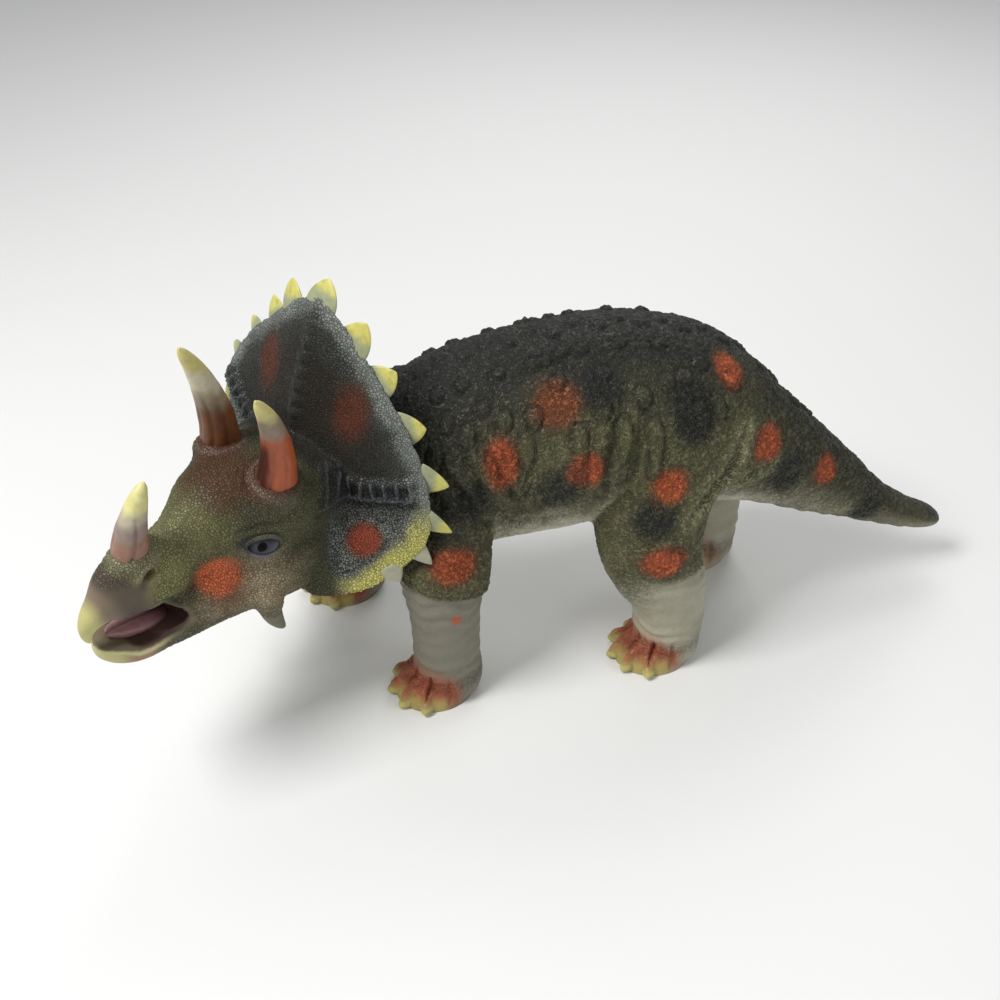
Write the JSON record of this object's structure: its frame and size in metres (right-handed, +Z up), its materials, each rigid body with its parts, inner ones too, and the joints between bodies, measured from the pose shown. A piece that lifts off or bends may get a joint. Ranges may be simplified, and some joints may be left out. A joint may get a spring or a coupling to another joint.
{
  "type": "toy dinosaur figure",
  "caption": "Large soft vinyl walking three-horned dinosaur toy, stuffed, with a spiked frill, open mouth and a head that turns on its neck.",
  "frame": {"origin": "on the ground, under the middle of the figure's bounding box", "axes": "+X towards the tail, +Z up, the animal's left side towards -Y; the head points to -X and is turned to its left"},
  "size_m": [0.5836, 0.2108, 0.2949],
  "materials": {
    "skin": "soft vinyl with a matt leathery grain, painted olive and charcoal with orange spots",
    "leg_skin": "unpainted pale grey-green soft vinyl, painted at the thigh and foot",
    "horn": "soft vinyl, painted yellow at the tip and brown at the root",
    "eye": "gloss",
    "mouth": "satin soft vinyl",
    "tongue": "satin soft vinyl",
    "joint": "as moulded",
    "stuffing": "loose polyester fibre"
  },
  "bodies": {
    "body": {"torso_shell": "skin", "tail_shell": "skin", "front_left_leg": "leg_skin", "front_right_leg": "leg_skin", "rear_left_leg": "leg_skin", "rear_right_leg": "leg_skin", "front_left_leg_stuffing": "stuffing", "front_right_leg_stuffing": "stuffing", "rear_left_leg_stuffing": "stuffing", "rear_right_leg_stuffing": "stuffing", "torso_stuffing": "stuffing", "tail_stuffing": "stuffing", "belly_plug": "leg_skin"},
    "head": {"head_shell": "skin", "head_stuffing": "stuffing", "nose_horn": "horn", "left_brow_horn": "horn", "right_brow_horn": "horn", "left_eye": "eye", "right_eye": "eye", "mouth_liner": "mouth", "tongue": "tongue", "neck_disc": "joint", "neck_washer": "joint", "neck_lock_ring": "joint"}
  },
  "joints": [
    {"name": "neck_swivel", "type": "hinge", "parent": "body", "child": "head", "pos_m": [-0.1397, 0.01629, 0.17151], "axis": [0.7689, 0.6384, -0.0349], "range_deg": [-30, 0]}
  ]
}
